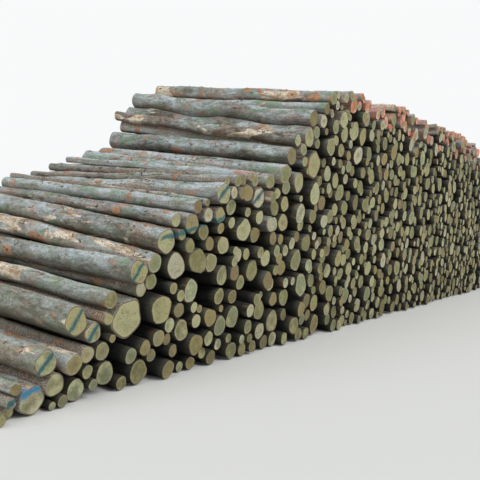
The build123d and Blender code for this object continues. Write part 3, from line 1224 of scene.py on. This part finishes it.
def rings_and_stains(n, colour):
    """Heart and sapwood by the share of the way to the rim, then rings, pale fibres and stains."""
    uneven = n.plus(n.share, n.swing(n.blotch, 0.35))
    heart = n.times(n.step(uneven, 0.5, 0.2), n.step(n.tint_z, 0.62, 0.95))
    sapwood = n.times(n.step(uneven, 0.78, 0.93), n.step(n.tint_y, 0.1, 0.8))
    from_pith = n.math("SQRT", n.plus(n.times(n.x, n.x), n.times(n.z, n.z)))
    warp = n.times(n.noise(n.on_cut, 12.0, 2.0, 0.5), 26.0)
    n.rings = n.math("SINE", n.plus(n.times(from_pith, rings_per_metre), warp))
    stain = n.patch(n.noise(n.on_cut, 16.0, 4.0, 0.65), 0.60, 0.07)
    colour = n.cover(colour, heart, 0.5, heart_brown)
    colour = n.cover(colour, sapwood, 0.6, sapwood_cream)
    colour = n.cover(colour, n.step(n.rings, 0.0, 1.0), 0.26, ring_dark)
    colour = n.cover(colour, n.step(n.fine, 0.5, 0.75), 0.2, fibre_pale)
    return n.cover(colour, stain, 0.5, stain_brown)


def cracks_rim_and_low_dark(n, colour):
    """Cracks that fade out at the rim, the dark line of the bark, and dark patches low in the stack."""
    angle = n.math("ARCTAN2", n.z, n.x)
    turned = n.plus(n.times(n.tint_y, 31.0), n.times(n.share, 0.35))
    spokes = n.noise(n.vector(n.math("COSINE", angle), n.math("SINE", angle), turned), 3.4, 2.0, 0.5)
    crack = n.step(n.math("ABSOLUTE", n.minus(spokes, 0.5)), 0.016, 0.004)
    n.crack = n.times(crack, n.step(n.share, 0.95, 0.55))
    colour = n.cover(colour, n.crack, 0.85, crack_dark)
    colour = n.mix(n.step(n.share, 0.925, 0.950), colour, rim_brown)
    # The ends are darker in patches towards the bottom of the stack.
    darker_low_down = n.times(n.step(n.stack_z, 0.75, 0.05), n.step(n.blotch, 0.30, 0.62))
    return n.cover(colour, darker_low_down, 0.50, low_dark)


print("rings and cracks ready")

# %% [markdown]
# A stroke of paint is a straight band through the pith, with a wavering edge, bare specks in it and a
# mist beside it. A painted picture would be sharper, but this way one material serves every end: the
# distance from the stroke's middle line is all that it needs. The spray on the crest is a noise.

# %% Sawn ends
blue_shift = 0.05
strokes = (  # kind, half width, shift from the pith and colour
    (teal_stroke, 0.024, 0.0, (0.014, 0.105, 0.118)),
    (blue_stroke, 0.030, blue_shift, (0.030, 0.200, 0.36)),
)
red_dark, red_glare_pale = (0.72, 0.165, 0.090), (0.90, 0.60, 0.50)


def paint_on_ends(n, colour):
    """Strokes, red spray and the sprayed line.

    distance from a stroke = |x sin(lean) - z cos(lean) + shift + wander| + a rough edge
    """
    stroke_x, stroke_z, kind = n.split(n.numbers("paint"))
    across = n.minus(n.times(n.x, stroke_z), n.times(n.z, stroke_x))
    wander = n.swing(n.noise(n.on_cut, 7.0, 3.0, 0.6), 0.07)
    rough = n.times(n.noise(n.on_cut, 60.0, 4.0, 0.7), 0.022)
    specked = n.plus(n.times(n.step(n.fine, 0.36, 0.56), 0.30), 0.65)
    specked = n.times(specked, n.step(n.blotch, 0.26, 0.44))
    for paint_kind, width, shift, paint in strokes:
        off_stroke = n.math("ABSOLUTE", n.plus(n.plus(across, shift), wander))
        off_stroke = n.plus(off_stroke, rough)
        marked = n.is_kind(kind, paint_kind)
        mist = n.times(n.step(off_stroke, width + 0.035, width + 0.002), marked)
        colour = n.cover(colour, mist, 0.40, [(part + 0.25) / 2 for part in paint])
        stroke = n.times(n.step(off_stroke, width + 0.012, width - 0.004), marked)
        colour = n.cover(colour, stroke, specked, paint)
    spray = n.times(n.patch(n.noise(n.on_cut, 8.0, 4.0, 0.65), 0.43, 0.14), n.is_kind(kind, red_spray))
    # Painted highlight: the pale pink patches stand for sun glare on the red paint.
    colour = n.cover(colour, spray, 0.82, n.mix(n.step(n.blotch, 0.46, 0.66), red_dark, red_glare_pale))
    on_face = n.step(n.stack_y, face_y + 0.5, face_y + 0.3)
    return n.cover(colour, sprayed_line(n, n.stack_x, n.stack_z, n.blotch), on_face, line_paint)


def end_material(name):
    """Sawn ends in all their layers, with the marks of the chain saw, rings and cracks as relief."""
    n = EndNodes(name)
    colour = weathered_wood(n)
    for layer in (rings_and_stains, cracks_rim_and_low_dark, paint_on_ends):
        colour = layer(n, colour)
    saw_marks = n.noise(n.scaled(n.on_cut, (260.0, 26.0, 1.0)), 1.0, 2.0, 0.5)
    height = n.plus(n.times(saw_marks, 0.7), n.times(n.rings, 0.1))
    height = n.minus(height, n.times(n.crack, 1.5))
    return n.finish(colour, 0.8, 0.2, height, 0.5, 0.002)


sawn = end_material("sawn_end")
print("sawn ends ready, with", len(sawn.node_tree.nodes), "nodes")

# %% [markdown]
# Dead beech leaves are copper-brown, bark crumbs dark brown, and splinters of wood pale. Three
# materials would split the litter into three pieces. One material takes each one's shade from the three
# numbers of its own.

# %% Litter material


def litter_material(name):
    """Dark to middle brown by the first number, copper by the second and pale wood by the third."""
    n = Nodes(name)
    shade, warmth, paleness = n.split(n.numbers("tint"))
    speckle = n.noise(n.place(), 90.0, 3.0, 0.6)
    colour = n.mix(shade, (0.060, 0.047, 0.035), (0.26, 0.180, 0.120))
    colour = n.mix(n.step(warmth, 0.70, 0.98), colour, (0.30, 0.165, 0.085))
    colour = n.mix(n.step(paleness, 0.82, 0.95), colour, (0.62, 0.50, 0.36))
    colour = n.mix(0.5, colour, n.mix(speckle, (0.15, 0.15, 0.15), (0.85, 0.85, 0.85)), "SOFT_LIGHT")
    return n.finish(colour, 0.85, 0.5, speckle, 0.4, 0.003)


litter = litter_material("litter")
print("litter ready")

# %% [markdown]
# Every piece takes its materials here. That could be done where each
# mesh is built, but then nobody could see at a glance what every piece is. Each log piece stands for the
# imported node that its logs were read from, and that node is hidden. Nothing on a stack of logs moves on
# purpose, so all the pieces ride on the one body of the model.

# %% Dress the pieces
for piece in litter_pieces:
    piece.data.materials.append(litter)
    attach(piece, "root")
for piece, node, label in pieces:
    piece.data.materials.append(bark if label == "outer" else gap_shaded_bark)
    piece.data.materials.append(sawn)
    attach(piece, "root")
    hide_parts(node)
print(len(pieces) + len(litter_pieces), "pieces dressed")

# %% [markdown]
# A pale floor keeps the eye on the stack and takes its shadow. A curved backdrop could hide where the
# floor ends, but other views would look behind it. So the floor is wide, and far from the stack it turns
# into the colour of the background, for the camera only.

# %% Floor
backdrop_colour = (0.94, 0.95, 0.955)
floor_reach = 400.0
fade_start, fade_end = 16.0, 60.0


def floor_material(name):
    """A pale matt floor, which glows in the colour of the backdrop as the distance from the stack grows."""
    n = Nodes(name)
    n.shader.inputs["Base Color"].default_value = (0.78, 0.775, 0.76, 1.0)
    n.shader.inputs["Roughness"].default_value = 0.9
    n.shader.inputs["Specular IOR Level"].default_value = 0.1
    distance = n.add("ShaderNodeVectorMath", operation="LENGTH")
    n.join(n.place(), distance.inputs[0])
    ray = n.add("ShaderNodeLightPath")
    far = n.times(n.step(distance.outputs["Value"], fade_start, fade_end), ray.outputs["Is Camera Ray"])
    glow = n.add("ShaderNodeEmission")
    glow.inputs["Color"].default_value = (*backdrop_colour, 1.0)
    blend = n.fed(n.add("ShaderNodeMixShader"), far, n.shader.outputs[0], glow.outputs[0])
    n.join(blend, n.tree.nodes["Material Output"].inputs["Surface"])
    return n.material


floor_corners = [(-floor_reach, -floor_reach, 0), (floor_reach, -floor_reach, 0),
                 (floor_reach, floor_reach, 0), (-floor_reach, floor_reach, 0)]
floor_mesh = bpy.data.meshes.new("floor")
floor_mesh.from_pydata(floor_corners, [], [(0, 1, 2, 3)])
floor_mesh.materials.append(floor_material("floor"))
placed("floor", floor_mesh)
print("floor ready")

# %% [markdown]
# The logs are lit softly, with no hard shadows. Lamps near the stack would light its middle more than its
# ends, and a sun lights near and far alike. So there are two very soft suns, one that shines on the face
# and one on the sloping end.

# %% Lamps


def soft_sun(name, towards, strength, softness, colour):
    """A lamp that shines evenly on everything from one side, with the given softness in degrees."""
    data = bpy.data.lights.new(name, "SUN")
    data.energy = strength
    data.angle = math.radians(softness)
    data.color = colour
    placed(name, data).rotation_euler = Vector(towards).to_track_quat("Z", "Y").to_euler()


soft_sun("face_lamp", (0.35, -0.72, 0.75), 1.75, 40.0, (1.0, 0.995, 0.98))
soft_sun("flank_lamp", (-0.85, 0.12, 0.62), 1.40, 60.0, (0.95, 0.985, 1.0))
print("lamps ready")

# %% [markdown]
# The world fills the shadows between the logs a little. Seen by the camera, or in a gloss, it has the
# colour of the backdrop instead: a brighter world for both would wash out the shadows.

# %% World
world_light = (0.93, 0.97, 1.0)
world_strength = 0.32

world = bpy.data.worlds.new("world")
bpy.context.scene.world = world
world.use_nodes = True
world_tree = world.node_tree
light = world_tree.nodes["Background"]
light.inputs["Color"].default_value = (*world_light, 1.0)
light.inputs["Strength"].default_value = world_strength
seen = world_tree.nodes.new("ShaderNodeBackground")
seen.inputs["Color"].default_value = (*backdrop_colour, 1.0)
ray = world_tree.nodes.new("ShaderNodeLightPath")
look = ray.outputs["Is Camera Ray"]
for kind in ("Is Glossy Ray", "Is Transmission Ray"):
    either = world_tree.nodes.new("ShaderNodeMath")
    either.operation = "MAXIMUM"
    world_tree.links.new(look, either.inputs[0])
    world_tree.links.new(ray.outputs[kind], either.inputs[1])
    look = either.outputs[0]
choose = world_tree.nodes.new("ShaderNodeMixShader")
for socket, source in zip(choose.inputs, (look, light.outputs[0], seen.outputs[0])):
    world_tree.links.new(source, socket)
world_tree.links.new(choose.outputs[0], world_tree.nodes["World Output"].inputs["Surface"])
bpy.context.scene.view_settings.view_transform = "Standard"
print("world ready")
